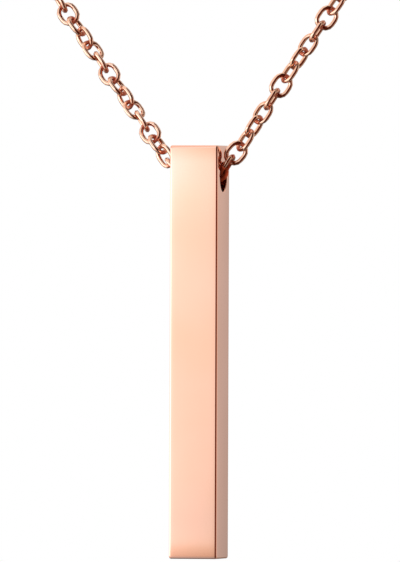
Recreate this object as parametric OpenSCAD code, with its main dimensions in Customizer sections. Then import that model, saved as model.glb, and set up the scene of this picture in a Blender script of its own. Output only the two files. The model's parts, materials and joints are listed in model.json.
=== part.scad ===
// Bar necklace: a square bar pendant threaded on a closed loop of cable chain.
// Millimetres, +Z up, the wearer's front towards -Y. The origin is at the nape, where the
// clasp rests on the neck. The chain comes down on both sides to a V and passes through
// the cross hole near the bar's top, and the bar hangs from it.

/* [Bar] */
// Width and depth of the square bar
bar_side = 5; // [4.8:0.1:5.1]
// Height of the bar
bar_h = 42; // [36:0.5:50]
// Bevel along the bar's twelve edges
edge_bevel = 0.2; // [0.1:0.05:0.3]
// Diameter of the cross hole that the chain runs through
hole_d = 3; // [3:0.1:3.2]
// From the bar's top face down to the hole's axis
hole_drop = 3.2; // [3:0.1:6]
// Bevel round the hole's two mouths
mouth_bevel = 0.1; // [0.05:0.01:0.2]

/* [Chain] */
// Diameter of the chain's round wire
wire_d = 0.42; // [0.38:0.01:0.42]
// Outside width of an oval link
link_w = 2.1; // [2.05:0.05:2.15]
// Distance from one taut link to the next
link_pitch = 1.66; // [1.66:0.01:1.7]
// Free play between the wires of two taut links
link_play = 0.14; // [0.14:0.01:0.16]
// Links on each side of the middle link
side_links = 123; // [110:1:123]

/* [Clasp] */
// Diameter of the plain barrel clasp
barrel_d = 3; // [2.6:0.1:4]
// Bevel round the barrel's two ends
barrel_bevel = 0.6; // [0.3:0.1:0.8]
// Wire diameter of the eyes at the barrel's two ends
eye_wire_d = 0.5; // [0.4:0.05:0.6]
// Open diameter of an eye
eye_open_d = 1.2; // [1.1:0.05:1.4]

/* [Hidden] */
$fn = 32;

// Where the chain bends out of the hole its links hang slack, closer by this much
SLACK = 0.09;
SLACK_PITCH = link_pitch - SLACK;

// A cutting tool reaches past the surface by this much
OVERCUT = 1;

// The middle link lies in the hole. Its place is counted from the middle of the hole.
MIDDLE_LINK_AT = [0.16, -0.34, 0.03];
MIDDLE_LINK_ROLL = 146;

// Each link follows a heading, degrees from the outward X direction towards the back, and a
// rise, degrees above level. Its roll is its turn about its own length, 0 with its flat level.
// The links that bend out of the hole have rows of their own: [heading, rise, roll].
MOUTH_RIGHT = [[15, 20, 61], [-15, 54, 191], [13, 50, 91]];
MOUTH_LEFT = [[10, 12, 106], [7, 48, 11], [21, 50, 76], [34, 48, 6]];

// From there up to the nape the direction changes evenly between these rows:
// [share of the side's way, heading, rise]. The first stretch is the straight V.
WAY_RIGHT = [
    [0, 16, 57.5], [0.08, 16, 55.5], [0.24, 21, 52], [0.38, 50, 43],
    [0.54, 80, 30], [0.7, 115, 18], [0.86, 147, 8], [1, 180, 0]
];
WAY_LEFT = [
    [0, 30, 45.5], [0.08, 24.5, 49], [0.24, 20, 54], [0.38, 46, 46],
    [0.54, 82, 32], [0.7, 116, 18], [0.86, 151, 8], [1, 180, 0]
];

// Every link is turned against the one below it, and a few degrees of unevenness repeat
// with each fifth link, as the photo shows. The first value is the link after the mouth's.
LINK_TURN = 72;
START_ROLL_RIGHT = 18;
START_ROLL_LEFT = 121;
UNEVEN_RIGHT = [10, 18, -8, 4, 0];
UNEVEN_LEFT = [0, -8, 4, -10, -8];

RIGHT = 1;
LEFT = -1;

// Columns of the list of a side's turns
HEADING = 0;
RISE = 1;
ROLL = 2;
STEP = 3;

function column(table, c) = [for (row = table) [row[0], row[c]]];

// A side's links as rows of heading, rise, roll and step, with the heading counted from +X
function turns(side, mouth, way, start_roll, uneven) =
    let (rest = side_links - len(mouth))
    [
        for (row = mouth)
            [facing(side, row[0]), row[1], row[2], SLACK_PITCH],
        for (k = [0 : rest - 1])
            let (share = k / (rest - 1))
            [
                facing(side, lookup(share, column(way, 1))),
                lookup(share, column(way, 2)),
                start_roll - LINK_TURN * k + uneven[k % len(uneven)],
                link_pitch
            ]
    ];

function facing(side, heading) = side == RIGHT ? heading : 180 - heading;

function direction(turn) = [
    cos(turn[HEADING]) * cos(turn[RISE]),
    sin(turn[HEADING]) * cos(turn[RISE]),
    sin(turn[RISE])
];

// The points where a side's links meet, counted from the middle of the hole, from the middle
// link's end to the clasp's eye
function joints(side, turns) = [
    for (
        k = 0, p = MIDDLE_LINK_AT + [side * link_pitch / 2, 0, 0];
        k <= len(turns);
        p = k < len(turns) ? p + turns[k][STEP] * direction(turns[k]) : p, k = k + 1
    ) p
];

function last(list) = list[len(list) - 1];

TURNS_RIGHT = turns(RIGHT, MOUTH_RIGHT, WAY_RIGHT, START_ROLL_RIGHT, UNEVEN_RIGHT);
TURNS_LEFT = turns(LEFT, MOUTH_LEFT, WAY_LEFT, START_ROLL_LEFT, UNEVEN_LEFT);
JOINTS_RIGHT = joints(RIGHT, TURNS_RIGHT);
JOINTS_LEFT = joints(LEFT, TURNS_LEFT);

// The clasp spans the gap between the two chain ends. Its surface touches the origin.
CLASP_SPAN = last(JOINTS_RIGHT) - last(JOINTS_LEFT);
CLASP_AT = [0, barrel_d / 2, 0];
HOLE_AT = CLASP_AT - (last(JOINTS_RIGHT) + last(JOINTS_LEFT)) / 2;

// Half of a link's length, and of its straight sides, along the middle of its wire
LINK_REACH = (link_pitch + link_play + wire_d) / 2;
BEND_R = (link_w - wire_d) / 2;
LINK_STRAIGHT = LINK_REACH - BEND_R;

// The eye's middle lies this far from the chain's end point, towards the barrel
EYE_R = (eye_open_d + eye_wire_d) / 2;
EYE_INSET = EYE_R - (wire_d + eye_wire_d) / 2 - link_play + (LINK_REACH - link_pitch / 2);

// Level rectangle with bevelled corners, centred
module bevelled_rectangle(w, d, bevel) {
    x = w / 2;
    y = d / 2;
    polygon([
        [x, y - bevel], [x - bevel, y], [bevel - x, y], [-x, y - bevel],
        [-x, bevel - y], [bevel - x, -y], [x - bevel, -y], [x, bevel - y]
    ]);
}

// Box centred on the origin, all twelve edges bevelled
module bevelled_box(w, d, h, bevel) {
    intersection() {
        linear_extrude(h, center = true)
            bevelled_rectangle(w, d, bevel);
        rotate([90, 0, 0])
            linear_extrude(d, center = true)
                bevelled_rectangle(w, h, bevel);
        rotate([90, 0, 90])
            linear_extrude(w, center = true)
                bevelled_rectangle(d, h, bevel);
    }
}

// The cross hole along X as a solid to cut away. A cone at 45 degrees bevels each mouth.
module cross_hole() {
    rotate([0, 90, 0])
        cylinder(d = hole_d, h = bar_side + 2 * OVERCUT, center = true);
    for (side = [LEFT, RIGHT])
        translate([side * (bar_side / 2 - mouth_bevel), 0, 0])
            rotate([0, 90 * side, 0])
                cylinder(d1 = hole_d, d2 = hole_d + 4 * mouth_bevel, h = 2 * mouth_bevel);
}

module bar() {
    color("lightsalmon")
    translate(HOLE_AT)
        difference() {
            translate([0, 0, hole_drop - bar_h / 2])
                bevelled_box(bar_side, bar_side, bar_h, edge_bevel);
            cross_hole();
        }
}

// One oval link of round wire, centred, its length along X and its flat level
module link() {
    for (end = [-1, 1]) {
        translate([end * LINK_STRAIGHT, 0, 0])
            rotate(-90 * end)
                rotate_extrude(angle = 180)
                    translate([BEND_R, 0])
                        circle(d = wire_d);
        translate([-LINK_STRAIGHT, end * BEND_R, 0])
            rotate([0, 90, 0])
                cylinder(d = wire_d, h = 2 * LINK_STRAIGHT);
    }
}

// A side's links, each halfway between two of the side's joints
module chain_side(turns, joints) {
    for (k = [0 : len(turns) - 1])
        translate(HOLE_AT + (joints[k] + joints[k + 1]) / 2)
            rotate([0, -turns[k][RISE], turns[k][HEADING]])
                rotate([turns[k][ROLL], 0, 0])
                    link();
}

module chain_right() {
    color("chocolate")
    chain_side(TURNS_RIGHT, JOINTS_RIGHT);
}

// The left side also holds the middle link
module chain_left() {
    color("peru") {
        chain_side(TURNS_LEFT, JOINTS_LEFT);
        translate(HOLE_AT + MIDDLE_LINK_AT)
            rotate([MIDDLE_LINK_ROLL, 0, 0])
                link();
    }
}

// Barrel with bevelled ends along X, centred
module barrel(length) {
    r = barrel_d / 2;
    half = length / 2;
    rotate([0, 90, 0])
        rotate_extrude()
            polygon([
                [0, -half], [r - barrel_bevel, -half], [r, barrel_bevel - half],
                [r, half - barrel_bevel], [r - barrel_bevel, half], [0, half]
            ]);
}

// Plain barrel clasp in one piece, an eye at each end square to the last link's flat
module clasp() {
    eye_at = norm(CLASP_SPAN) / 2 - EYE_INSET;
    color("sandybrown")
    translate(CLASP_AT)
        rotate([0, -asin(CLASP_SPAN.z / norm(CLASP_SPAN)), atan2(CLASP_SPAN.y, CLASP_SPAN.x)]) {
            barrel(2 * (eye_at - EYE_R));
            translate([eye_at, 0, 0])
                rotate([90 - last(TURNS_RIGHT)[ROLL], 0, 0])
                    eye();
            translate([-eye_at, 0, 0])
                rotate([90 + last(TURNS_LEFT)[ROLL], 0, 0])
                    eye();
        }
}

// Round eye lying level
module eye() {
    rotate_extrude()
        translate([EYE_R, 0])
            circle(d = eye_wire_d);
}

bar();
chain_left();
chain_right();
clasp();
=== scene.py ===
"""Bar necklace: the polished bar, its cable chain and barrel clasp, and the studio round them."""

import json
import math
from collections import namedtuple

import bpy
import numpy as np
from bpy.props import FloatProperty, FloatVectorProperty, PointerProperty
from mathutils import Matrix, Vector


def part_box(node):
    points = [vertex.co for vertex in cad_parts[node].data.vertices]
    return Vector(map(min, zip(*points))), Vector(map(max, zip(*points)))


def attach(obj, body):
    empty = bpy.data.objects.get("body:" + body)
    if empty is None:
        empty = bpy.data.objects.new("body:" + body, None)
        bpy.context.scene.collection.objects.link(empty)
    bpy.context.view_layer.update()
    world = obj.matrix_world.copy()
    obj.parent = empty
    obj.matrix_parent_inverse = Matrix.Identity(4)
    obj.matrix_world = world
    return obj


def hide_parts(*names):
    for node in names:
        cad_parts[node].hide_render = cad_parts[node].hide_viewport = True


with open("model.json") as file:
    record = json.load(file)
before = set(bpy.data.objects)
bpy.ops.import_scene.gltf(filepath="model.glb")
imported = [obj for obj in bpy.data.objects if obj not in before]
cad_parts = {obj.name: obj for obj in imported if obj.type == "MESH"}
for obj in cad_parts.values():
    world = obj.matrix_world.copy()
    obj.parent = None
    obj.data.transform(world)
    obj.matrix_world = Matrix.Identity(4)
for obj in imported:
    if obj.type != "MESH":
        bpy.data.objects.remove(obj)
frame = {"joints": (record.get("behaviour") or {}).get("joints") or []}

bl_info = {
    "name": "Bar Necklace",
    "version": (1, 0, 0),
    "blender": (4, 5, 0),
    "location": "3D View > Sidebar > Necklace",
    "description": "Builds a bar pendant on a cable chain, with its metal and studio",
    "category": "Add Mesh",
}

MM = 0.001
X_AXIS, _, Z_AXIS = np.eye(3)
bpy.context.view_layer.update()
BAR_LOW, BAR_HIGH = (np.array(corner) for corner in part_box("bar"))

# The bar swings about the middle of its hole, so the joint gives the hole's place
HOLE_AT = np.array(frame["joints"][0]["pos_m"])
HOLE_R = 1.5 * MM

# The chain's links, as the part's source has them
WIRE_R = 0.21 * MM
LINK_W = 2.1 * MM
LINK_PITCH = 1.66 * MM
LINK_PLAY = 0.14 * MM
SLACK = 0.09 * MM
SLACK_PITCH = LINK_PITCH - SLACK
SIDE_LINKS = 123
LINK_REACH = (LINK_PITCH + LINK_PLAY) / 2 + WIRE_R
BEND_R = LINK_W / 2 - WIRE_R
LINK_STRAIGHT = LINK_REACH - BEND_R

# The dressed wire is thicker by its plating. The links are painted over to a dark painted shade
# in the bar's hole along this way, which begins this far outside the hole.
PLATED_WIRE_R = 0.24 * MM
HOLE_SHADE_DEPTH = 0.5 * MM
HOLE_SHADE_OUTSIDE = 0.75 * MM

# The links that bend out of the hole, in degrees: heading outwards from X, rise, roll
MOUTH_RIGHT = [[15, 20, 61], [-15, 54, 191], [13, 50, 91]]
MOUTH_LEFT = [[10, 12, 106], [7, 48, 11], [21, 50, 76], [34, 48, 6]]

# The way from there to the nape: share of the way, heading outwards from X, rise
WAY_RIGHT = [
    [0, 16, 57.5], [0.08, 16, 55.5], [0.24, 21, 52], [0.38, 50, 43],
    [0.54, 80, 30], [0.7, 115, 18], [0.86, 147, 8], [1, 180, 0],
]
WAY_LEFT = [
    [0, 30, 45.5], [0.08, 24.5, 49], [0.24, 20, 54], [0.38, 46, 46],
    [0.54, 82, 32], [0.7, 116, 18], [0.86, 151, 8], [1, 180, 0],
]
LINK_TURN = 72
START_ROLL_RIGHT = 18
START_ROLL_LEFT = 121
UNEVEN_RIGHT = [10, 18, -8, 4, 0]
UNEVEN_LEFT = [0, -8, 4, -10, -8]
MIDDLE_LINK_AT = np.array([0.16, -0.34, 0.03]) * MM
MIDDLE_LINK_ROLL = 146
RIGHT = 1
LEFT = -1
Side = namedtuple("Side", "middles frames end roll")

# The clasp at the nape, as the part's source has it
BARREL_R = 1.5 * MM
BARREL_BEVEL = 0.6 * MM
EYE_WIRE_R = 0.25 * MM
EYE_OPEN_R = 0.6 * MM
EYE_R = EYE_OPEN_R + EYE_WIRE_R
EYE_INSET = EYE_R - WIRE_R - EYE_WIRE_R - LINK_PLAY + LINK_REACH - LINK_PITCH / 2

# The photo's camera, where the hole's right mouth is in its frame, its sensor in millimetres,
# and how near and how far it sees
VIEW_AZIMUTH = math.radians(14.1)
VIEW_ROLL = math.radians(0.2)
VIEW_DISTANCE = 1.5
PIXELS_PER_M = 9840
PHOTO_W, PHOTO_H = 400, 562
MOUTH_PIXEL = (223.6, 177)
SENSOR = 36
CAMERA_CLIP = 0.01, 50

# How finely the surfaces are cut into faces, and how many times coarser the bar's lower part is
ARC_STEPS = 8
FLAT_STEPS = 8
SIDE_STEPS = (18, 36, 18, 36)
LOWER_SHRINK = 8
BEND_STEPS = 7
WIRE_STEPS = 6
BARREL_STEPS = 8
ROUND_STEPS = 48
FLOOR_STEPS = 96

# The bar's upright edges seen from the end are a little rounder than its long edges
OUTLINE_EXTRA_R = 0.1 * MM

# How far polishing has tipped the bar's flats outwards, as a slope, and over what width
EDGE_LEAN, EDGE_FRINGE = 0.04, 0.7 * MM
TOP_LEAN, TOP_FRINGE = 0.105, 9 * MM
FOOT_LEAN, FOOT_FRINGE = 0.087, 10 * MM

# The flats' slight bow along the bar, upright this share of half its length above the middle,
# their crown across their width, half-way up and at both ends, and their slight turn about the
# bar's length, half-way up and more at the top, all as slopes
BOW, BOW_MIDDLE = 0.0035, 0.35
CROWN_MIDDLE, CROWN_ENDS = 0.009, 0.023
TWIST_MIDDLE, TWIST_TOP = 0.0035, -0.013

# The clasp's seam and bore, and the seam's profile: steps along the barrel in seam widths, and
# how deep each one is in seam depths
SEAM_W = 0.05 * MM
SEAM_DEPTH = 0.06 * MM
SEAM_STEPS, SEAM_DEPTHS = (3, 1, 0, -1, -3), (0, 0, 1, 0, 0)
BORE_R = 0.15 * MM

# A point's wear and shade runs from 1, rubbed bright, over 0 to the painted shade at the wire
# rings' ends, and on to the darker painted shade in the bar's hole. At a ring's ends, where the
# next rings lie, it falls as painted shade by the first of the END numbers, by the second more on
# the outer side and as much less on the inner. The ends are narrower for a higher third.
PAINTED_SHADE, HOLE_SHADE_LEVEL = -1, -2
END_SHADE, END_OUTER_SHADE, END_POWER = 1.5, 0.45, 4

# Grain of the finishes: features a metre, the span of the noise that counts, the depth of the
# swell and the hairlines' share of it, and how the hairlines are stretched
CLOUD_SCALE = 90
CLOUD_SPAN = 0.3, 0.7
SWELL_SCALE = 260
SWELL_DEPTH = 0.004 * MM
HAIRLINE_SCALE = 9000
HAIRLINE_SPAN = 0.45, 0.75
HAIRLINE_DEPTH = 0.1
ALONG_BAR = (1, 1, 0.02)
EVEN = (1, 1, 1)

# The way from the deep tint to the bright one: where it starts, and what wear and cloud add
TINT_START, TINT_WEAR, TINT_CLOUD = 0.2, 0.3, 0.6

# From this value down to the full painted shade the metal gives way to a dull, non-metal surface
# in the painted shade colour. In the darker painted shade of the hole that colour keeps this share.
SHADE_DULL_START = -0.7
HOLE_SHADE_SHARE = 0.35

# What the cloud, the hairlines and the dull painted shade add to the roughness
CLOUD_ROUGHNESS, HAIRLINE_ROUGHNESS, SHADE_DULL_ROUGHNESS = 0.03, 0.03, 0.4

# The floor's size, its clouds and how far they darken it, and its dull finish
FLOOR_R = 3
FLOOR_CLOUD_SCALE = 3
FLOOR_CLOUD_SHADE = 0.98
FLOOR_ROUGHNESS, FLOOR_GLOSS = 0.6, 0.2

# The Mix node's colour sockets, whose names its other sockets share
COLOUR_A, COLOUR_B, COLOUR_OUT = 6, 7, 2

# The studio's lower and upper walls by azimuth, degrees from the front towards the right,
# the heights between which one gives way to the other, and a further brightness by height,
# degrees above level. A ramp's colours stay within 1, and the light's strength is a setting.
LOWER_WALLS = [
    (-180, (0.15, 0.15, 0.15)),
    (-120, (0.25, 0.25, 0.25)),
    (-106, (0.5, 0.5, 0.5)),
    (-95, (1, 1, 1)),
    (-28, (0.92, 0.94, 1)),
    (-18.1, (0.62, 0.62, 0.66)),
    (-15.1, (0.53, 0.53, 0.53)),
    (-13.1, (0.485, 0.485, 0.485)),
    (-9.3, (0.415, 0.415, 0.415)),
    (-2, (0.28, 0.24, 0.2)),
    (3, (0.06, 0.01, 0.004)),
    (82, (0.06, 0.01, 0.004)),
    (87, (0.42, 0.36, 0.32)),
    (96, (0.42, 0.36, 0.32)),
    (103, (0.17, 0.11, 0.08)),
    (115, (0.2, 0.15, 0.12)),
    (140, (0.45, 0.42, 0.4)),
    (152, (0.4, 0.38, 0.36)),
    (159.4, (0.285, 0.285, 0.285)),
    (164.8, (0.258, 0.258, 0.258)),
    (167.8, (0.22, 0.22, 0.22)),
    (180, (0.15, 0.15, 0.15)),
]
UPPER_WALLS = [
    (-180, (0.35, 0.34, 0.33)),
    (-135, (0.6, 0.58, 0.56)),
    (-115, (0.5, 0.42, 0.38)),
    (-45, (0.5, 0.42, 0.38)),
    (-30, (0.4, 0.38, 0.37)),
    (-18.1, (0.62, 0.62, 0.66)),
    (-15.1, (0.53, 0.53, 0.53)),
    (-13.1, (0.485, 0.485, 0.485)),
    (-9.3, (0.4, 0.4, 0.4)),
    (-1, (0.15, 0.1, 0.08)),
    (8, (0.02, 0.004, 0.002)),
    (82, (0.02, 0.004, 0.002)),
    (87, (0.4, 0.34, 0.3)),
    (96, (0.4, 0.34, 0.3)),
    (103, (0.02, 0.004, 0.002)),
    (140, (0.3, 0.27, 0.25)),
    (180, (0.35, 0.34, 0.33)),
]
WALLS_MEET = 3, 15
STUDIO_LEVELS = [
    (-90, (0.15, 0.14, 0.13)),
    (-50, (0.25, 0.23, 0.22)),
    (-38, (0.4, 0.36, 0.33)),
    (-27, (0.5, 0.44, 0.4)),
    (-18, (0.45, 0.38, 0.33)),
    (-12, (0.42, 0.33, 0.27)),
    (-10.5, (0.56, 0.47, 0.4)),
    (-9.9, (0.645, 0.57, 0.5)),
    (-9.2, (0.68, 0.61, 0.54)),
    (-8.5, (0.76, 0.74, 0.72)),
    (-7.4, (0.75, 0.75, 0.74)),
    (-5, (0.73, 0.73, 0.73)),
    (-1.6, (0.775, 0.775, 0.775)),
    (0, (0.8, 0.8, 0.8)),
    (2.4, (0.86, 0.86, 0.86)),
    (4.8, (0.9, 0.9, 0.94)),
    (8.3, (0.9, 0.9, 0.94)),
    (11, (0.76, 0.75, 0.73)),
    (13, (0.7, 0.68, 0.66)),
    (28, (0.7, 0.7, 0.7)),
    (90, (0.7, 0.7, 0.7)),
]


# Surfaces are whole arrays: points, outward normals, faces, and each point's wear and painted shade


def ring_faces(rows, columns):
    """Quads of a grid that closes on itself both ways."""
    row, column = np.meshgrid(np.arange(rows), np.arange(columns), indexing="ij")
    next_row, next_column = (row + 1) % rows, (column + 1) % columns
    corners = (row, column), (next_row, column), (next_row, next_column), (row, next_column)
    return np.stack([r * columns + c for r, c in corners], -1).reshape(-1, 4)


def joined(surfaces):
    """Several surfaces as one, each one's faces counted on from the points before it."""
    points, normals, faces, worn = zip(*surfaces)
    starts = np.cumsum([0] + [len(p) for p in points[:-1]])
    faces = [f + start for f, start in zip(faces, starts)]
    return tuple(np.concatenate(arrays) for arrays in (points, normals, faces, worn))


def unit(vectors):
    """Vectors of length one in the same directions."""
    return vectors / np.linalg.norm(vectors, axis=-1, keepdims=True)


def bar_outline(half, low, high, corner_r, shrink, arc_steps, side_steps):
    """The bar's outline seen along its hole: points, outward normals, and angles round the hole.

    A small circle is carried round the rectangle of the corners' middles. It turns a quarter
    at each corner and keeps its direction along each side. Heights below the hole are divided
    by shrink while the sides are shared out and the angles taken, so that the points of the
    long lower part lie further apart.
    """
    across, top, foot = half - corner_r, high - corner_r, (low + corner_r) / shrink
    corners = np.array([[across, top], [-across, top], [-across, foot], [across, foot]])
    arc = np.linspace(0, 1, arc_steps + 1)
    middles, quarters = [], []
    for quarter, steps in enumerate(side_steps):
        here, after = corners[quarter], corners[(quarter + 1) % 4]
        side = np.arange(1, steps) / steps
        middles += [np.repeat([here], len(arc), 0), here + np.outer(side, after - here)]
        quarters += [quarter + arc, np.full(len(side), quarter + 1)]
    middles, turn = np.concatenate(middles), np.concatenate(quarters) * np.pi / 2
    middles[:, 1] *= np.where(middles[:, 1] < 0, shrink, 1)
    outward = np.stack([np.cos(turn), np.sin(turn)], -1)
    points = middles + corner_r * outward
    heights = points[:, 1] / np.where(points[:, 1] < 0, shrink, 1)
    return points, outward, np.arctan2(heights, points[:, 0])


def bar_section(half, edge_r, mouth_r, arc_steps, flat_steps):
    """The way round the bar's section, in rows, from the hole's left end and back to it.

    Columns: x, radius round the hole, share of the outline, inset from the outline, the
    normal's part along x, towards the hole's axis and along the outline's normal, and wear and
    painted shade.
    The wall of the hole, a rounded mouth, the right face, a rounded edge and half of the
    outer side come first. The same rows mirrored in x follow in reverse. The hole's wall is
    set to painted shade.
    """
    turn = np.linspace(0, np.pi / 2, arc_steps + 1)
    zero, one = np.zeros_like(turn), np.ones_like(turn)
    sin, cos, rub_and_shade = np.sin(turn), np.cos(turn), np.sin(2 * turn)
    # Painted shade: the hole's wall is set to the dark red painted shade
    wall_rub_and_shade = np.where(turn == 0, PAINTED_SHADE, rub_and_shade)
    mouth = np.stack([
        half - mouth_r + mouth_r * sin, HOLE_R + mouth_r - mouth_r * cos, zero, zero,
        sin, cos, zero, wall_rub_and_shade,
    ], -1)
    edge = np.stack([
        half - edge_r + edge_r * cos, zero, one, edge_r * (1 - sin), cos, zero, sin, rub_and_shade,
    ], -1)
    between = np.linspace(0, 1, flat_steps + 1)[1:-1, None]
    face = mouth[-1] + between * (edge[0] - mouth[-1])
    reach = np.sin(np.linspace(np.pi / 2, 0, flat_steps + 1)[1:])
    side = np.repeat(edge[-1:], flat_steps, 0)
    side[:, 0] *= reach
    right = np.concatenate([mouth, face, edge, side])
    left = right[-2::-1] * [-1, 1, 1, 1, -1, 1, 1, 1]
    return np.concatenate([right, left])


def bar_surface(edge_r, mouth_r):
    """The whole bar as one ring round its hole.

    The section's rows are carried round the outline: each point is the hole's circle times
    its radius, plus the outline times its share, less the inset along the outline's normal.
    """
    half = (BAR_HIGH - BAR_LOW)[0] / 2
    low, high = (BAR_LOW - HOLE_AT)[2], (BAR_HIGH - HOLE_AT)[2]
    outline, outward, angle = bar_outline(
        half, low, high, edge_r + OUTLINE_EXTRA_R, LOWER_SHRINK, ARC_STEPS, SIDE_STEPS
    )
    section = bar_section(half, edge_r, mouth_r, ARC_STEPS, FLAT_STEPS)
    x, radius, share, inset, along_x, inward, along_outline, rub_and_shade = section.T[:, :, None]
    round_hole = np.stack([np.cos(angle), np.sin(angle)])
    outline, outward = outline.T, outward.T
    y, z = (radius * c + share * o - inset * n for c, o, n in zip(round_hole, outline, outward))
    ny, nz = (along_outline * n - inward * c for c, n in zip(round_hole, outward))
    points = np.stack([x + 0 * y, y, z], -1)
    normals = np.stack([along_x + 0 * ny, ny, nz], -1)
    corner_wear = share * np.abs(np.prod(outward, 0)) * 2
    # The corners' wear is 0 on the hole's wall, so this maximum lifts the wall's painted shade back
    # to 0
    worn = np.maximum(rub_and_shade, corner_wear)
    normals = wheel_polished(points, unit(normals), half, low, high)
    faces = ring_faces(*worn.shape)
    return HOLE_AT + points.reshape(-1, 3), normals.reshape(-1, 3), faces, worn.ravel()


def fringe(depth, width):
    """The square of the share of a fringe's width still ahead: 1 at the edge, 0 inside it."""
    return np.clip(1 - depth / width, 0, 1) ** 2


def wheel_polished(points, normals, half, low, high):
    """The bar's normals as the polishing wheel has tipped them.

    The lean outwards grows with the fringe's square along each edge, the crown with the
    distance from the middle line, and the bow and the turn about Z with the height. The metal
    that this took is hundredths of a millimetre deep, so only the normals carry it.
    """
    x, y, z = np.moveaxis(points, -1, 0)
    height = 2 * (z - low) / (high - low) - 1
    crown = CROWN_MIDDLE + (CROWN_ENDS - CROWN_MIDDLE) * np.abs(height)
    across = [
        crown * p / half + np.sign(p) * EDGE_LEAN * fringe(half - np.abs(p), EDGE_FRINGE)
        for p in (x, y)
    ]
    upwards = (
        BOW * (height - BOW_MIDDLE)
        + TOP_LEAN * fringe(high - z, TOP_FRINGE) - FOOT_LEAN * fringe(z - low, FOOT_FRINGE)
    )
    lean = np.stack([*across, upwards], -1) * (1 - np.abs(normals))
    twist = (TWIST_MIDDLE + TWIST_TOP * height)[..., None] * np.cross(Z_AXIS, normals)
    return unit(normals + lean + twist)


def wire_ring(bend_r, straight, wire_r):
    """A ring of round wire, flat in XY and longer along X by two straight stretches.

    Two half circles of radius bend_r stand apart by the straight stretches, and the wire's
    circle is carried along them. The wear grows with the cosine of the turn round the wire,
    from the ring's inner side to its outer, and at the ring's ends, where the next rings lie,
    it falls to painted shade with a power of the heading's cosine.
    """
    quarter = np.linspace(-np.pi / 2, np.pi / 2, BEND_STEPS + 1)
    heading = np.concatenate([quarter, quarter + np.pi])
    end = np.repeat([straight, -straight], len(quarter))
    turn = np.arange(WIRE_STEPS) * 2 * np.pi / WIRE_STEPS
    outward = np.stack([np.cos(heading), np.sin(heading), 0 * heading], -1)[:, None]
    normals = np.cos(turn)[:, None] * outward + np.sin(turn)[:, None] * Z_AXIS
    points = end[:, None, None] * X_AXIS + bend_r * outward + wire_r * normals
    # Painted shade: the ring's ends, where the next rings lie, are painted dark red
    painted_shade_amount = END_SHADE + END_OUTER_SHADE * np.cos(turn)
    worn = (1 + np.cos(turn)) / 2 - np.outer(np.cos(heading) ** END_POWER, painted_shade_amount)
    faces = ring_faces(len(heading), WIRE_STEPS)
    return points.reshape(-1, 3), normals.reshape(-1, 3), faces, worn.ravel()


def placed(surface, middles, frames):
    """Copies of a surface, one at each middle, its X, Y and Z along the rows of each frame."""
    points, normals, faces, worn = surface
    starts = np.arange(len(middles))[:, None, None] * len(points)
    return (
        (middles[:, None] + points @ frames).reshape(-1, 3),
        (normals @ frames).reshape(-1, 3),
        (starts + faces).reshape(-1, 4),
        np.tile(worn, len(middles)),
    )


def painted_hole_shade(surface):
    """A surface with its value falling to the dark painted shade of the bar's hole just outside the
    mouths.

    Within the hole's radius of its axis, the fall is a straight ramp over the depth behind a
    plane outside each mouth.
    """
    points, normals, faces, worn = surface
    place = points - HOLE_AT
    depth = (BAR_HIGH - BAR_LOW)[0] / 2 + HOLE_SHADE_OUTSIDE - np.abs(place[:, 0])
    inside = np.hypot(place[:, 1], place[:, 2]) < HOLE_R
    # Painted shade: within the hole's radius the links are painted dark, ramping in from outside
    # each mouth
    painted_shade_amount = np.clip(depth / HOLE_SHADE_DEPTH, 0, 1) * inside
    return points, normals, faces, worn + (HOLE_SHADE_LEVEL - worn) * painted_shade_amount


def link_frames(heading, rise, roll):
    """For each link the directions along it, across it and square to its flat, as rows."""
    flat = np.cos(rise)
    along = np.stack([np.cos(heading) * flat, np.sin(heading) * flat, np.sin(rise)], -1)
    level = np.stack([-np.sin(heading), np.cos(heading), 0 * heading], -1)
    lift = np.cross(along, level)
    cos, sin = np.cos(roll)[:, None], np.sin(roll)[:, None]
    return np.stack([along, cos * level + sin * lift, cos * lift - sin * level], 1)


def chain_side(side, mouth, way, start_roll, uneven):
    """A side's link middles and frames, the point where it ends, and its last link's roll.

    The mouth's links come first. Then the direction changes evenly between the rows of the
    way, and each link is turned against the one below it. The joints between the links are
    the running sum of their steps, and a link's middle is halfway between two joints.
    """
    mouth, way = np.array(mouth), np.array(way)
    k = np.arange(SIDE_LINKS - len(mouth))
    heading, rise = (np.interp(k / k[-1], way[:, 0], way[:, c]) for c in (1, 2))
    roll = start_roll - LINK_TURN * k + np.array(uneven)[k % len(uneven)]
    turns = np.concatenate([mouth, np.stack([heading, rise, roll], -1)])
    heading, rise, roll = np.radians(turns).T
    frames = link_frames(heading if side == RIGHT else np.pi - heading, rise, roll)
    steps = np.where(np.arange(SIDE_LINKS) < len(mouth), SLACK_PITCH, LINK_PITCH)
    start = HOLE_AT + MIDDLE_LINK_AT + side * LINK_PITCH / 2 * X_AXIS
    ends = start + np.cumsum(steps[:, None] * frames[:, 0], 0)
    middles = (np.concatenate([[start], ends[:-1]]) + ends) / 2
    return Side(middles, frames, ends[-1], roll[-1])


def chain_sides():
    """The right side and the left side."""
    return (
        chain_side(RIGHT, MOUTH_RIGHT, WAY_RIGHT, START_ROLL_RIGHT, UNEVEN_RIGHT),
        chain_side(LEFT, MOUTH_LEFT, WAY_LEFT, START_ROLL_LEFT, UNEVEN_LEFT),
    )


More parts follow.
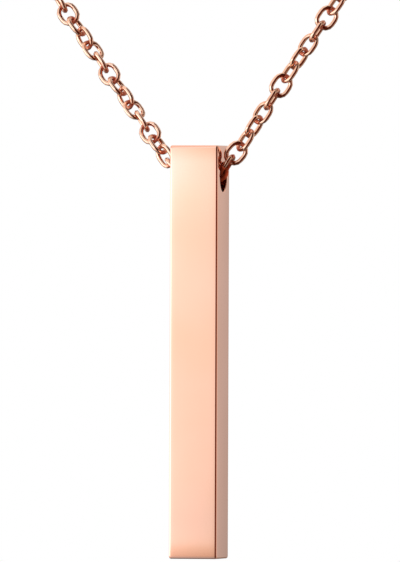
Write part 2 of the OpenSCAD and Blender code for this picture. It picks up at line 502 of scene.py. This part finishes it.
def barrel(half):
    """A barrel turned about X, with rounded ends and a seam round its middle.

    The profile of radius against x runs along the outside, round one end, back through a
    fine bore that the eyes' wires close, and round the other end. Its normals are the
    profile's own direction turned by a quarter.
    """
    turn = np.linspace(0, np.pi / 2, BARREL_STEPS + 1)
    end = half - BARREL_BEVEL + BARREL_BEVEL * np.sin(turn)
    end_r = BARREL_R - BARREL_BEVEL + BARREL_BEVEL * np.cos(turn)
    seam = SEAM_W * np.array(SEAM_STEPS)
    seam_r = BARREL_R - SEAM_DEPTH * np.array(SEAM_DEPTHS)
    bore = (BORE_R + end_r[-1]) / 2, BORE_R
    x = np.concatenate([end[::-1], seam, -end, [-half, -half, half, half]])
    radius = np.concatenate([end_r[::-1], seam_r, end_r, bore, bore[::-1]])
    slope = (np.roll(x, -1) - np.roll(x, 1), np.roll(radius, -1) - np.roll(radius, 1))
    turn = np.arange(ROUND_STEPS) * 2 * np.pi / ROUND_STEPS
    round_x = np.stack([0 * turn, np.cos(turn), np.sin(turn)], -1)
    points = x[:, None, None] * X_AXIS + radius[:, None, None] * round_x
    normals = unit(slope[1][:, None, None] * X_AXIS - slope[0][:, None, None] * round_x)
    worn = np.repeat((np.abs(x) > half - BARREL_BEVEL)[:, None], ROUND_STEPS, 1)
    faces = ring_faces(len(x), ROUND_STEPS)
    return points.reshape(-1, 3), normals.reshape(-1, 3), faces, worn.ravel()


# Shader maths is written as expressions


class Value:
    """A socket's value. Arithmetic on it adds Math nodes beside it."""

    def __init__(self, nodes, socket):
        self.nodes, self.socket = nodes, socket

    def maths(self, operation, *values):
        return self.nodes.add("ShaderNodeMath", {"operation": operation}, dict(enumerate(values)))

    def __add__(self, other):
        return self.maths("ADD", self, other)

    def __sub__(self, other):
        return self.maths("SUBTRACT", self, other)

    def __rsub__(self, other):
        return self.maths("SUBTRACT", other, self)

    def __mul__(self, other):
        return self.maths("MULTIPLY", self, other)

    __radd__ = __add__
    __rmul__ = __mul__

    def between(self, low, high):
        """0 at low and 1 at high, and no further."""
        return self.nodes.add("ShaderNodeMapRange", {"clamp": True}, {
            "Value": self, "From Min": low, "From Max": high,
        })


class Nodes:
    """The nodes of one material or world."""

    def __init__(self, owner):
        owner.use_nodes = True
        self.tree = owner.node_tree
        self.tree.nodes.clear()

    def add(self, kind, settings=None, inputs=None, output=0):
        """A new node: its settings first, then its sockets' values or links. Gives one output."""
        node = self.tree.nodes.new(kind)
        for name, value in (settings or {}).items():
            if name == "stops":
                self.set_stops(node.color_ramp, value)
            else:
                setattr(node, name, value)
        for name, value in (inputs or {}).items():
            if isinstance(value, Value):
                self.tree.links.new(value.socket, node.inputs[name])
            else:
                node.inputs[name].default_value = value
        return Value(self, node.outputs[output]) if node.outputs else node

    def set_stops(self, ramp, stops):
        """A ramp's stops: each one's place and colour."""
        while len(ramp.elements) < len(stops):
            ramp.elements.new(1)
        for element, (place, colour) in zip(ramp.elements, stops):
            element.position = place
            element.color = *colour, 1

    def blended(self, share, low, high):
        """A colour on the way from low to high."""
        return self.add("ShaderNodeMix", {"data_type": "RGBA"}, {
            "Factor": share, COLOUR_A: low, COLOUR_B: high,
        }, output=COLOUR_OUT)

    def noise(self, scale, detail=2, stretch=EVEN):
        """Soft noise on the object's own coordinates, scale features a metre, stretched."""
        place = self.add("ShaderNodeTexCoord", output="Object")
        place = self.add("ShaderNodeMapping", {}, {"Vector": place, "Scale": stretch})
        return self.add("ShaderNodeTexNoise", {}, {
            "Vector": place, "Scale": scale, "Detail": detail,
        })


def polished_metal(name, settings, hairline_stretch):
    """Rose-gold metal polished on a wheel.

    Where the surface is worn, at edges and the outer side of a wire, it is paler. At the wire
    rings' ends, where the next rings lie, it is painted red and dull as painted shade, and darker
    still as painted shade in the bar's hole. A broad cloud varies the tint and the polish, fine
    hairlines of the last buffing run one way, and the faint swell left by the wheel is in the bump.
    """
    metal = bpy.data.materials.new(name)
    nodes = Nodes(metal)
    worn = nodes.add("ShaderNodeAttribute", {"attribute_name": "worn"}, output="Fac")
    cloud = nodes.noise(CLOUD_SCALE)
    swell = nodes.noise(SWELL_SCALE, detail=1)
    hairlines = nodes.noise(HAIRLINE_SCALE, stretch=hairline_stretch).between(*HAIRLINE_SPAN)
    colour = Vector(settings.metal)
    deep = colour * (1 - settings.variation)
    deep.z *= 1 - settings.variation
    bright = colour.lerp(Vector((1, 1, 1)), settings.variation)
    share = TINT_START + TINT_WEAR * worn + TINT_CLOUD * cloud.between(*CLOUD_SPAN)
    tint = nodes.blended(share, (*deep, 1), (*bright, 1))
    # Painted shade: towards the painted shade colour below 0
    tint = nodes.blended(worn.between(0, PAINTED_SHADE), tint, (*settings.painted_shade_colour, 1))
    # Painted shade: darker still in the bar's hole
    hole_shade_colour = Vector(settings.painted_shade_colour) * HOLE_SHADE_SHARE
    tint = nodes.blended(worn.between(PAINTED_SHADE, HOLE_SHADE_LEVEL), tint, (*hole_shade_colour, 1))
    # In the painted shade the metal turns dull and non-metal, so that the painted colour shows
    shade_dullness = worn.between(SHADE_DULL_START, PAINTED_SHADE)
    roughness = (
        settings.roughness + CLOUD_ROUGHNESS * cloud + HAIRLINE_ROUGHNESS * hairlines
        + SHADE_DULL_ROUGHNESS * shade_dullness
    )
    height = hairlines * HAIRLINE_DEPTH + swell
    bump = nodes.add("ShaderNodeBump", {}, {
        "Strength": settings.bump, "Distance": SWELL_DEPTH, "Height": height,
    })
    shader = nodes.add("ShaderNodeBsdfPrincipled", {}, {
        "Base Color": tint, "Metallic": 1 - shade_dullness, "Roughness": roughness, "Normal": bump,
        "Specular Tint": (*settings.grazing, 1), "Specular IOR Level": 0,
    })
    nodes.add("ShaderNodeOutputMaterial", {}, {"Surface": shader})
    return metal


def add_piece(name, surface, metal, body, slot, *cad_nodes):
    """A smooth piece from a surface's arrays, riding a body in place of its CAD nodes."""
    points, normals, faces, worn = surface
    mesh = bpy.data.meshes.new(name)
    mesh.from_pydata(points, [], faces)
    rub_and_shade = mesh.attributes.new("worn", "FLOAT", "POINT")
    rub_and_shade.data.foreach_set("value", worn.astype(np.float32))
    mesh.polygons.foreach_set("use_smooth", np.ones(len(faces), bool))
    mesh.materials.append(metal)
    mesh.update()
    mesh.normals_split_custom_set_from_vertices(normals)
    piece = bpy.data.objects.new(name, mesh)
    bpy.context.scene.collection.objects.link(piece)
    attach(piece, body)
    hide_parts(*cad_nodes)


class MetalSettings:
    """What every metal piece has."""

    roughness: FloatProperty(
        name="Roughness", description="How dull the polish is", default=0.05,
        min=0, max=1, subtype="FACTOR",
    )
    variation: FloatProperty(
        name="Variation", description="How far the tint varies and wears", default=0.08,
        min=0, max=0.5, subtype="FACTOR",
    )
    bump: FloatProperty(
        name="Polishing marks", description="Strength of the swell and the hairlines",
        default=0.25, min=0, max=1, subtype="FACTOR",
    )
    grazing: FloatVectorProperty(
        name="Grazing tint", description="Colour of the reflection along the surface",
        default=(1, 0.9, 0.86), min=0, max=1, size=3, subtype="COLOR",
    )


class BarSettings(bpy.types.PropertyGroup, MetalSettings):
    """The bar's edges and its metal."""

    edge_r: FloatProperty(
        name="Edge radius", description="Radius of the bar's long polished edges",
        default=0.2 * MM, min=0.05 * MM, max=0.5 * MM, precision=5, unit="LENGTH",
    )
    mouth_r: FloatProperty(
        name="Hole edge radius", description="Radius of the edge round the hole's mouths",
        default=0.12 * MM, min=0.05 * MM, max=0.3 * MM, precision=5, unit="LENGTH",
    )
    metal: FloatVectorProperty(
        name="Metal colour", description="Colour of the bar's reflection",
        default=(0.99, 0.56, 0.42), min=0, max=1, size=3, subtype="COLOR",
    )
    # Painted shade colour, set for the hole's wall; the bar's values stay at 0 or above, so it
    # doesn't show
    painted_shade_colour: FloatVectorProperty(
        name="Sheltered colour", description="Colour where nothing rubs the metal",
        default=(0.95, 0.25, 0.16), min=0, max=1, size=3, subtype="COLOR",
    )


class ChainSettings(bpy.types.PropertyGroup, MetalSettings):
    """The chain's metal."""

    metal: FloatVectorProperty(
        name="Metal colour", description="Colour of the links' reflection",
        default=(0.94, 0.61, 0.46), min=0, max=1, size=3, subtype="COLOR",
    )
    # Painted shade colour at the links' ends where the next links lie, and a darker share of it in
    # the bar's hole
    painted_shade_colour: FloatVectorProperty(
        name="Sheltered colour", description="Colour where nothing rubs the metal",
        default=(0.5, 0.07, 0.025), min=0, max=1, size=3, subtype="COLOR",
    )


class ClaspSettings(bpy.types.PropertyGroup, MetalSettings):
    """The clasp's metal."""

    metal: FloatVectorProperty(
        name="Metal colour", description="Colour of the clasp's reflection",
        default=(0.92, 0.48, 0.33), min=0, max=1, size=3, subtype="COLOR",
    )
    # Painted shade colour at the eyes' ends
    painted_shade_colour: FloatVectorProperty(
        name="Sheltered colour", description="Colour where nothing rubs the metal",
        default=(0.5, 0.07, 0.025), min=0, max=1, size=3, subtype="COLOR",
    )


class StudioSettings(bpy.types.PropertyGroup):
    """The studio's light and floor."""

    light: FloatProperty(
        name="Light", description="Strength of the studio's soft walls", default=3,
        min=0, max=10,
    )
    floor: FloatVectorProperty(
        name="Floor colour", description="Colour of the plain floor",
        default=(0.78, 0.77, 0.76), min=0, max=1, size=3, subtype="COLOR",
    )
    floor_drop: FloatProperty(
        name="Floor drop", description="How far the floor is below the bar's foot",
        default=0.15, min=0, max=1, subtype="DISTANCE", unit="LENGTH",
    )


class NECKLACE_OT_bar(bpy.types.Operator):
    """Build the polished square bar with the hole across its top"""

    bl_idname = "necklace.bar"
    bl_label = "Bar"

    def execute(self, context):
        settings = context.scene.necklace_bar
        surface = bar_surface(settings.edge_r, settings.mouth_r)
        metal = polished_metal("bar rose gold", settings, ALONG_BAR)
        add_piece("polished_bar", surface, metal, "bar", "bar_metal", "bar")
        return {"FINISHED"}


class NECKLACE_OT_chain(bpy.types.Operator):
    """Build both sides of the cable chain and the link in the bar's hole"""

    bl_idname = "necklace.chain"
    bl_label = "Chain"

    def execute(self, context):
        metal = polished_metal("chain rose gold", context.scene.necklace_chain, EVEN)
        link = wire_ring(BEND_R, LINK_STRAIGHT, PLATED_WIRE_R)
        right, left = chain_sides()
        links = painted_hole_shade(placed(link, right.middles, right.frames))
        add_piece("chain_links_right", links, metal, "chain", "chain_metal", "chain_right")
        middle_frame = link_frames(*np.radians([[0.0], [0.0], [MIDDLE_LINK_ROLL]]))
        links = painted_hole_shade(joined([
            placed(link, left.middles, left.frames),
            placed(link, HOLE_AT + MIDDLE_LINK_AT[None], middle_frame),
        ]))
        add_piece("chain_links_left", links, metal, "chain", "chain_metal", "chain_left")
        return {"FINISHED"}


class NECKLACE_OT_clasp(bpy.types.Operator):
    """Build the barrel clasp and its two eyes at the nape"""

    bl_idname = "necklace.clasp"
    bl_label = "Clasp"

    def execute(self, context):
        metal = polished_metal("clasp rose gold", context.scene.necklace_clasp, EVEN)
        right, left = chain_sides()
        span = right.end - left.end
        eye_at = np.linalg.norm(span) / 2 - EYE_INSET
        heading, rise = np.arctan2(span[1], span[0]), np.arcsin(span[2] / np.linalg.norm(span))
        rolls = np.array([0, np.pi / 2 - right.roll, np.pi / 2 + left.roll])
        frames = link_frames(np.full(3, heading), np.full(3, rise), rolls)
        middles = (right.end + left.end) / 2 + np.outer([0, eye_at, -eye_at], frames[0, 0])
        eyes = placed(wire_ring(EYE_R, 0, EYE_WIRE_R), middles[1:], frames[1:])
        body = placed(barrel(eye_at - EYE_R), middles[:1], frames[:1])
        add_piece("barrel_clasp", joined([body, eyes]), metal, "chain", "clasp_metal", "clasp")
        return {"FINISHED"}


def studio_world(light):
    """A soft studio all round: how bright it is by direction, as the polished metal sees it.

    The brightness is a ramp over the azimuth, another one higher up, times a ramp over the
    height. To the camera and to dull surfaces it is plain white.
    """
    world = bpy.data.worlds.new("studio")
    nodes = Nodes(world)
    direction = nodes.add("ShaderNodeTexCoord", output="Generated")
    x, y, height = (
        nodes.add("ShaderNodeSeparateXYZ", {}, {"Vector": direction}, output=axis) for axis in "XYZ"
    )
    azimuth = x.maths("ARCTAN2", x, 0 - y)
    round_share = azimuth * (1 / (2 * math.pi)) + 0.5
    lower, upper = (
        nodes.add("ShaderNodeValToRGB", {
            "stops": [((a + 180) / 360, colour) for a, colour in walls],
        }, {"Fac": round_share})
        for walls in (LOWER_WALLS, UPPER_WALLS)
    )
    walls = nodes.blended(height.between(*np.sin(np.radians(WALLS_MEET))), lower, upper)
    levels = nodes.add("ShaderNodeValToRGB", {
        "stops": [((math.sin(math.radians(e)) + 1) / 2, colour) for e, colour in STUDIO_LEVELS],
    }, {"Fac": height * 0.5 + 0.5})
    colour = nodes.add("ShaderNodeMix", {"data_type": "RGBA", "blend_type": "MULTIPLY"}, {
        "Factor": 1, COLOUR_A: walls, COLOUR_B: levels,
    }, output=COLOUR_OUT)
    lit = nodes.add("ShaderNodeBackground", {}, {"Color": colour, "Strength": light})
    plain = nodes.add("ShaderNodeBackground", {}, {"Color": (1, 1, 1, 1), "Strength": 1})
    seen, dull = (
        nodes.add("ShaderNodeLightPath", output=ray) for ray in ("Is Camera Ray", "Is Diffuse Ray")
    )
    both = nodes.add("ShaderNodeMixShader", {}, {"Fac": seen + dull, 1: lit, 2: plain})
    nodes.add("ShaderNodeOutputWorld", {}, {"Surface": both})
    return world


def floor_disc(radius, height):
    """A level round floor: one face inside a ring of points."""
    turn = np.arange(FLOOR_STEPS) * 2 * np.pi / FLOOR_STEPS
    ring = np.stack([radius * np.cos(turn), radius * np.sin(turn), height + 0 * turn], -1)
    mesh = bpy.data.meshes.new("studio_floor")
    mesh.from_pydata(ring, [], [range(FLOOR_STEPS)])
    return bpy.data.objects.new("studio_floor", mesh)


class NECKLACE_OT_studio(bpy.types.Operator):
    """Build the plain floor, the soft studio light and the photo's camera"""

    bl_idname = "necklace.studio"
    bl_label = "Studio"

    def execute(self, context):
        scene, settings = context.scene, context.scene.necklace_studio
        scene.world = studio_world(settings.light)
        scene.view_settings.view_transform = "Standard"
        floor = floor_disc(FLOOR_R, BAR_LOW[2] - settings.floor_drop)
        paint = bpy.data.materials.new("floor paint")
        nodes = Nodes(paint)
        cloud = nodes.noise(FLOOR_CLOUD_SCALE)
        colour = Vector(settings.floor)
        shade = colour * FLOOR_CLOUD_SHADE
        tint = nodes.blended(cloud.between(*CLOUD_SPAN), (*shade, 1), (*colour, 1))
        shader = nodes.add("ShaderNodeBsdfPrincipled", {}, {
            "Base Color": tint, "Roughness": FLOOR_ROUGHNESS, "Specular IOR Level": FLOOR_GLOSS,
        })
        nodes.add("ShaderNodeOutputMaterial", {}, {"Surface": shader})
        floor.data.materials.append(paint)
        floor.visible_glossy = False
        scene.collection.objects.link(floor)
        scene.camera = photo_camera()
        scene.collection.objects.link(scene.camera)
        return {"FINISHED"}


def photo_camera():
    """The photo's camera: level, far off, its frame turned by the roll.

    It stands back from the hole's right mouth, and as far aside as the mouth's pixel is from
    the middle of the frame, so that the mouth comes out at that pixel.
    """
    back = np.array([math.sin(VIEW_AZIMUTH), -math.cos(VIEW_AZIMUTH), 0])
    right = np.array([math.cos(VIEW_AZIMUTH), math.sin(VIEW_AZIMUTH), 0])
    right, up = (
        math.cos(VIEW_ROLL) * right + math.sin(VIEW_ROLL) * Z_AXIS,
        math.cos(VIEW_ROLL) * Z_AXIS - math.sin(VIEW_ROLL) * right,
    )
    mouth = HOLE_AT + (BAR_HIGH - BAR_LOW)[0] / 2 * X_AXIS
    aside = (MOUTH_PIXEL[0] - PHOTO_W / 2) / PIXELS_PER_M
    raised = (PHOTO_H / 2 - MOUTH_PIXEL[1]) / PIXELS_PER_M
    place = mouth + VIEW_DISTANCE * back - aside * right - raised * up
    camera = bpy.data.cameras.new("photo_camera")
    camera.sensor_width = SENSOR
    camera.lens = PIXELS_PER_M * VIEW_DISTANCE * SENSOR / PHOTO_H
    camera.clip_start, camera.clip_end = CAMERA_CLIP
    viewpoint = bpy.data.objects.new("photo_camera", camera)
    matrix = np.eye(4)
    matrix[:3] = np.stack([right, up, back, place], -1)
    viewpoint.matrix_world = Matrix(matrix)
    return viewpoint


class NECKLACE_PT_pieces(bpy.types.Panel):
    """The necklace's sizes and finishes, and a button for each piece"""

    bl_label = "Bar Necklace"
    bl_space_type = "VIEW_3D"
    bl_region_type = "UI"
    bl_category = "Necklace"

    def draw(self, context):
        for settings_name, operator, properties in PIECES:
            box = self.layout.box()
            for name in properties:
                box.prop(getattr(context.scene, settings_name), name)
            box.operator(operator)


METAL_PROPERTIES = ("metal", "painted_shade_colour", "grazing", "roughness", "variation", "bump")
PIECES = (
    ("necklace_bar", "necklace.bar", ("edge_r", "mouth_r", *METAL_PROPERTIES)),
    ("necklace_chain", "necklace.chain", METAL_PROPERTIES),
    ("necklace_clasp", "necklace.clasp", METAL_PROPERTIES),
    ("necklace_studio", "necklace.studio", ("light", "floor", "floor_drop")),
)
SETTINGS = (BarSettings, ChainSettings, ClaspSettings, StudioSettings)
CLASSES = (
    *SETTINGS, NECKLACE_OT_bar, NECKLACE_OT_chain, NECKLACE_OT_clasp, NECKLACE_OT_studio,
    NECKLACE_PT_pieces,
)


def register():
    for added in CLASSES:
        bpy.utils.register_class(added)
    for (name, *_), settings in zip(PIECES, SETTINGS):
        setattr(bpy.types.Scene, name, PointerProperty(type=settings))


def unregister():
    for name, *_ in PIECES:
        delattr(bpy.types.Scene, name)
    for added in reversed(CLASSES):
        bpy.utils.unregister_class(added)


def main():
    register()
    bpy.ops.necklace.bar()
    bpy.ops.necklace.chain()
    bpy.ops.necklace.clasp()
    bpy.ops.necklace.studio()


if __name__ == "__main__":
    main()
